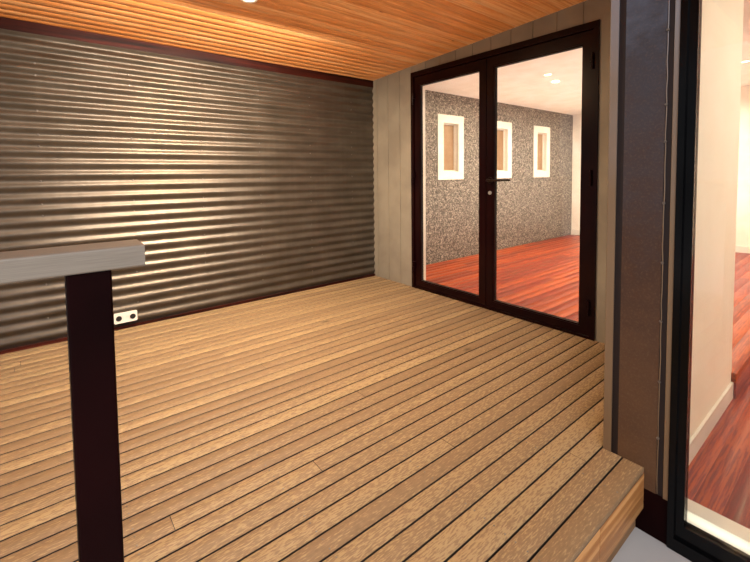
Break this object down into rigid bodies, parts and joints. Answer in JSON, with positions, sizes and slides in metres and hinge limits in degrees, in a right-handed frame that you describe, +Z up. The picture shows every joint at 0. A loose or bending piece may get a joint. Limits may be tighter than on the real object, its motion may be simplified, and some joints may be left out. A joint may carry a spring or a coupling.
{
  "type": "container cabin with covered deck",
  "caption": "Low container cabin: a covered timber deck behind a corrugated screen wall, a pair of hinged glazed doors, a room behind them and a wing with a glazed front.",
  "frame": {"origin": "middle of the roof's outline, at ground level", "axes": "+X along the deck boards towards the doors and the room, +Y towards the back wall, +Z up"},
  "size_m": [8.95, 5.71, 2.7924],
  "materials": {
    "framing_timber": "rough sawn",
    "decking_timber": "weathered, ribbed",
    "fascia_timber": "sawn, oiled",
    "floor_timber": "gloss varnish",
    "wall_board": "matt paint",
    "corrugated_steel": "semi-gloss paint on zinc-coated sheet",
    "stained_timber": "dark stain",
    "outlet_plastic": "moulded",
    "pebble_lining": "small grey pebbles on a board",
    "cream_trim": "satin paint",
    "frosted_glass": "frosted",
    "clear_glass": "clear",
    "grooved_cladding": "satin paint",
    "dark_aluminium": "dark bronze powder coat",
    "black_aluminium": "gloss black powder coat",
    "satin_metal": "satin",
    "dark_sheet": "dark sheet with stains",
    "lining_timber": "varnished lining",
    "roof_steel": "semi-gloss paint",
    "dark_steel": "dark paint",
    "lamp_white": "opal"
  },
  "bodies": {
    "root": {"deck_frame": "framing_timber", "deck_boards": "decking_timber", "deck_fascia": "fascia_timber", "floor_frame": "framing_timber", "room_floor": "floor_timber", "screen_wall": "wall_board", "screen_sheet": "corrugated_steel", "screen_trim": "stained_timber", "screen_outlet": "outlet_plastic", "back_wall": "wall_board", "back_lining": "pebble_lining", "back_sheet": "corrugated_steel", "window_frames": "cream_trim", "window_glass": "frosted_glass", "door_wall_left": "grooved_cladding", "door_wall_right": "grooved_cladding", "door_wall_head": "grooved_cladding", "door_frame": "dark_aluminium", "nib_wall": "grooved_cladding", "pier_sheet": "dark_sheet", "pier_trim": "cream_trim", "wing_front": "dark_sheet", "glazed_frame": "black_aluminium", "glazed_panels": "black_aluminium", "panel_glass": "clear_glass", "inner_sill": "cream_trim", "wing_side_wall": "wall_board", "wing_sheet": "corrugated_steel", "end_wall": "wall_board", "end_sheet": "corrugated_steel", "room_beam": "wall_board", "deck_ceiling": "lining_timber", "room_ceiling": "wall_board", "rafters": "framing_timber", "roof_sheet": "roof_steel", "roof_edge": "roof_steel", "front_beam": "stained_timber", "posts": "dark_steel", "handrail": "satin_metal", "ceiling_lights": "lamp_white"},
    "left_door": {"left_leaf": "dark_aluminium", "left_glass": "clear_glass"},
    "right_door": {"right_leaf": "dark_aluminium", "right_glass": "clear_glass", "door_handle": "satin_metal"}
  },
  "joints": [
    {"name": "left_door_hinge", "type": "hinge", "parent": "root", "child": "left_door", "pos_m": [-0.335, 1.93, 1.2], "axis": [0, 0, -1], "range_deg": [0, 90]},
    {"name": "right_door_hinge", "type": "hinge", "parent": "root", "child": "right_door", "pos_m": [-0.335, 0.286, 1.2], "axis": [0, 0, 1], "range_deg": [0, 90]}
  ]
}
